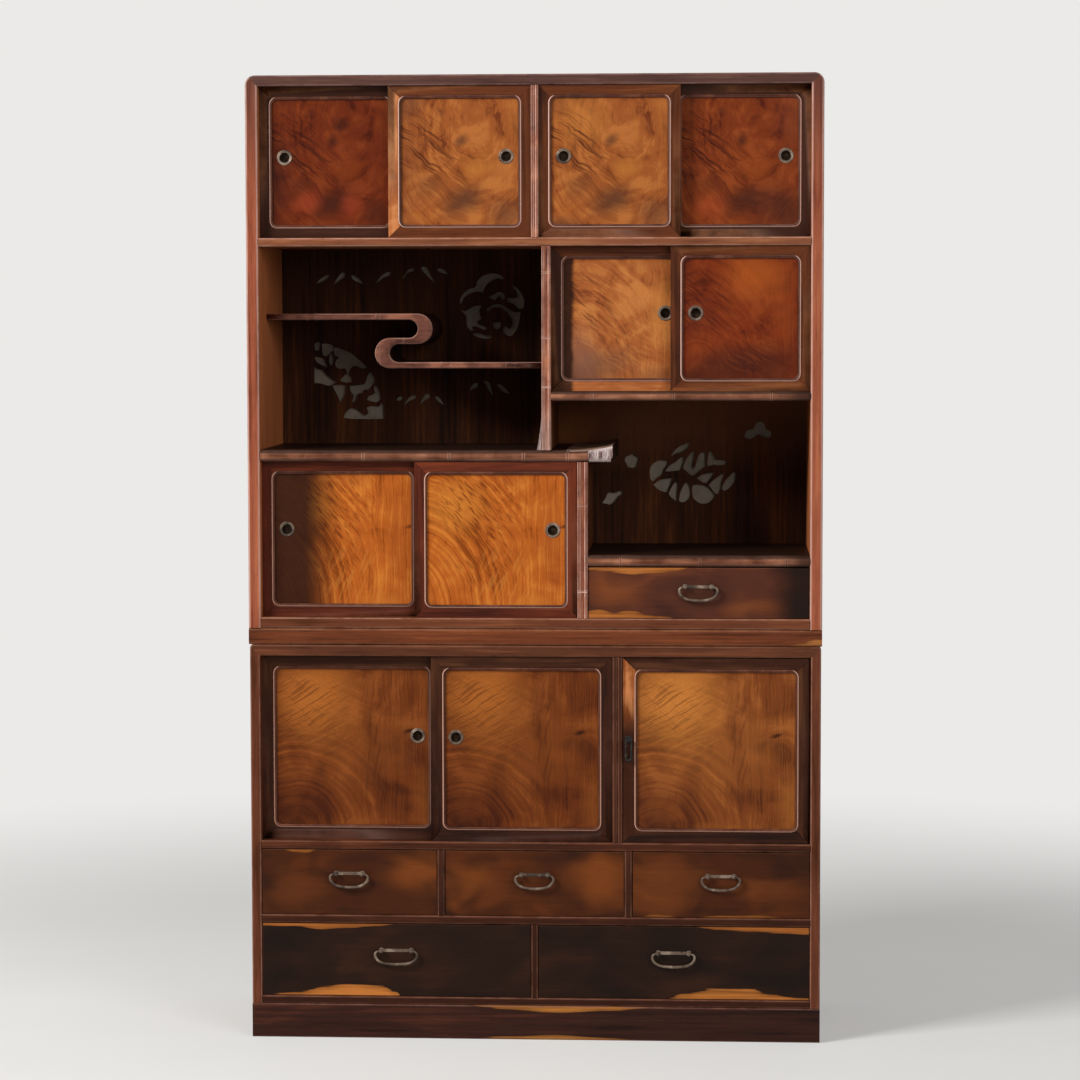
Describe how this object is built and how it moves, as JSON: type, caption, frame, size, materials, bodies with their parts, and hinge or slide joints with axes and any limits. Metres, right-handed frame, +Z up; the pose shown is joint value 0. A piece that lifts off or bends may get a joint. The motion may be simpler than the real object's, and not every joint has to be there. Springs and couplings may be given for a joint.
{
  "type": "kitchen cabinet",
  "caption": "Tall Japanese mizuya kitchen cabinet in two stacked cases, with sliding doors, drawers, bamboo-like posts and two display niches with an S-curved shelf.",
  "frame": {"origin": "on the floor, at the centre of the footprint", "axes": "+X to the right as seen from the front, +Y towards the back, +Z up"},
  "size_m": [1.06, 0.3734, 1.785],
  "materials": {
    "frame_wood": "wiped lacquer, worn arrises",
    "bamboo_edge_wood": "wiped lacquer, worn arrises",
    "panel_wood": "wiped lacquer, figured",
    "drawer_wood": "dark lacquered hardwood",
    "openwork_wood": "dark matt",
    "plain_wood": "plain planed softwood",
    "lining_cloth": "matt grey-green",
    "bronze": "patinated, rubbed bright",
    "iron": "blackened"
  },
  "bodies": {
    "cabinet": {"upper_top_board": "frame_wood", "upper_side_boards": "frame_wood", "upper_sill_board": "frame_wood", "upper_base_moulding": "frame_wood", "top_row_shelf": "frame_wood", "openwork_back_left": "openwork_wood", "openwork_back_right": "openwork_wood", "openwork_linings": "lining_cloth", "back_boards": "plain_wood", "staggered_shelf": "frame_wood", "root_end_shelf": "frame_wood", "bamboo_edge_shelves": "bamboo_edge_wood", "bamboo_posts": "bamboo_edge_wood", "cupboard_partitions": "plain_wood", "lower_top_board": "frame_wood", "lower_side_boards": "frame_wood", "lower_rails_and_boards": "frame_wood", "lower_dividers": "frame_wood", "plinth": "frame_wood"},
    "row_door_1": {"row_door_1": "panel_wood", "row_door_1_pull": "bronze"},
    "row_door_2": {"row_door_2": "panel_wood", "row_door_2_pull": "bronze"},
    "row_door_3": {"row_door_3": "panel_wood", "row_door_3_pull": "bronze"},
    "row_door_4": {"row_door_4": "panel_wood", "row_door_4_pull": "bronze"},
    "right_cupboard_door_1": {"right_cupboard_door_1": "panel_wood", "right_cupboard_door_1_pull": "bronze"},
    "right_cupboard_door_2": {"right_cupboard_door_2": "panel_wood", "right_cupboard_door_2_pull": "bronze"},
    "low_cupboard_door_1": {"low_cupboard_door_1": "panel_wood", "low_cupboard_door_1_pull": "bronze"},
    "low_cupboard_door_2": {"low_cupboard_door_2": "panel_wood", "low_cupboard_door_2_pull": "bronze"},
    "base_door_1": {"base_door_1": "panel_wood", "base_door_1_pull": "bronze"},
    "base_door_2": {"base_door_2": "panel_wood", "base_door_2_pull": "bronze"},
    "hinged_door": {"hinged_door": "panel_wood", "hinged_door_fittings": "iron"},
    "drop_pull": {"drop_pull": "iron"},
    "niche_drawer": {"niche_drawer": "drawer_wood", "niche_drawer_bail_mounts": "bronze"},
    "niche_drawer_bail": {"niche_drawer_bail": "bronze"},
    "small_drawer_1": {"small_drawer_1": "drawer_wood", "small_drawer_1_bail_mounts": "bronze"},
    "small_drawer_1_bail": {"small_drawer_1_bail": "bronze"},
    "small_drawer_2": {"small_drawer_2": "drawer_wood", "small_drawer_2_bail_mounts": "bronze"},
    "small_drawer_2_bail": {"small_drawer_2_bail": "bronze"},
    "small_drawer_3": {"small_drawer_3": "drawer_wood", "small_drawer_3_bail_mounts": "bronze"},
    "small_drawer_3_bail": {"small_drawer_3_bail": "bronze"},
    "large_drawer_1": {"large_drawer_1": "drawer_wood", "large_drawer_1_bail_mounts": "bronze"},
    "large_drawer_1_bail": {"large_drawer_1_bail": "bronze"},
    "large_drawer_2": {"large_drawer_2": "drawer_wood", "large_drawer_2_bail_mounts": "bronze"},
    "large_drawer_2_bail": {"large_drawer_2_bail": "bronze"}
  },
  "joints": [
    {"name": "row_door_1_slide", "type": "slide", "parent": "cabinet", "child": "row_door_1", "axis": [1, 0, 0], "range_m": [0, 0.24008]},
    {"name": "row_door_2_slide", "type": "slide", "parent": "cabinet", "child": "row_door_2", "axis": [1, 0, 0], "range_m": [-0.24008, 0]},
    {"name": "row_door_3_slide", "type": "slide", "parent": "cabinet", "child": "row_door_3", "axis": [1, 0, 0], "range_m": [0, 0.23758]},
    {"name": "row_door_4_slide", "type": "slide", "parent": "cabinet", "child": "row_door_4", "axis": [1, 0, 0], "range_m": [-0.23758, 0]},
    {"name": "right_cupboard_door_1_slide", "type": "slide", "parent": "cabinet", "child": "right_cupboard_door_1", "axis": [1, 0, 0], "range_m": [0, 0.21957]},
    {"name": "right_cupboard_door_2_slide", "type": "slide", "parent": "cabinet", "child": "right_cupboard_door_2", "axis": [1, 0, 0], "range_m": [-0.21957, 0]},
    {"name": "low_cupboard_door_1_slide", "type": "slide", "parent": "cabinet", "child": "low_cupboard_door_1", "axis": [1, 0, 0], "range_m": [0, 0.28563]},
    {"name": "low_cupboard_door_2_slide", "type": "slide", "parent": "cabinet", "child": "low_cupboard_door_2", "axis": [1, 0, 0], "range_m": [-0.28563, 0]},
    {"name": "base_door_1_slide", "type": "slide", "parent": "cabinet", "child": "base_door_1", "axis": [1, 0, 0], "range_m": [0, 0.31733]},
    {"name": "base_door_2_slide", "type": "slide", "parent": "cabinet", "child": "base_door_2", "axis": [1, 0, 0], "range_m": [-0.31733, 0]},
    {"name": "hinged_door_pivot", "type": "hinge", "parent": "cabinet", "child": "hinged_door", "pos_m": [0.4995, -0.169, 0.5435], "axis": [0, 0, 1], "range_deg": [0, 90]},
    {"name": "drop_pull_hinge", "type": "hinge", "parent": "hinged_door", "child": "drop_pull", "pos_m": [0.1745, -0.185, 0.56351], "axis": [-1, 0, 0], "range_deg": [0, 100]},
    {"name": "niche_drawer_slide", "type": "slide", "parent": "cabinet", "child": "niche_drawer", "axis": [0, -1, 0], "range_m": [0, 0.28]},
    {"name": "niche_drawer_bail_hinge", "type": "hinge", "parent": "niche_drawer", "child": "niche_drawer_bail", "pos_m": [0.30292, -0.187, 0.8469], "axis": [-1, 0, 0], "range_deg": [0, 100]},
    {"name": "small_drawer_1_slide", "type": "slide", "parent": "cabinet", "child": "small_drawer_1", "axis": [0, -1, 0], "range_m": [0, 0.28]},
    {"name": "small_drawer_1_bail_hinge", "type": "hinge", "parent": "small_drawer_1", "child": "small_drawer_1_bail", "pos_m": [-0.34525, -0.187, 0.30949], "axis": [-1, 0, 0], "range_deg": [0, 100]},
    {"name": "small_drawer_2_slide", "type": "slide", "parent": "cabinet", "child": "small_drawer_2", "axis": [0, -1, 0], "range_m": [0, 0.28]},
    {"name": "small_drawer_2_bail_hinge", "type": "hinge", "parent": "small_drawer_2", "child": "small_drawer_2_bail", "pos_m": [0, -0.187, 0.30949], "axis": [-1, 0, 0], "range_deg": [0, 100]},
    {"name": "small_drawer_3_slide", "type": "slide", "parent": "cabinet", "child": "small_drawer_3", "axis": [0, -1, 0], "range_m": [0, 0.28]},
    {"name": "small_drawer_3_bail_hinge", "type": "hinge", "parent": "small_drawer_3", "child": "small_drawer_3_bail", "pos_m": [0.34525, -0.187, 0.30949], "axis": [-1, 0, 0], "range_deg": [0, 100]},
    {"name": "large_drawer_1_slide", "type": "slide", "parent": "cabinet", "child": "large_drawer_1", "axis": [0, -1, 0], "range_m": [0, 0.28]},
    {"name": "large_drawer_1_bail_hinge", "type": "hinge", "parent": "large_drawer_1", "child": "large_drawer_1_bail", "pos_m": [-0.258, -0.187, 0.16531], "axis": [-1, 0, 0], "range_deg": [0, 100]},
    {"name": "large_drawer_2_slide", "type": "slide", "parent": "cabinet", "child": "large_drawer_2", "axis": [0, -1, 0], "range_m": [0, 0.28]},
    {"name": "large_drawer_2_bail_hinge", "type": "hinge", "parent": "large_drawer_2", "child": "large_drawer_2_bail", "pos_m": [0.258, -0.187, 0.16531], "axis": [-1, 0, 0], "range_deg": [0, 100]}
  ]
}
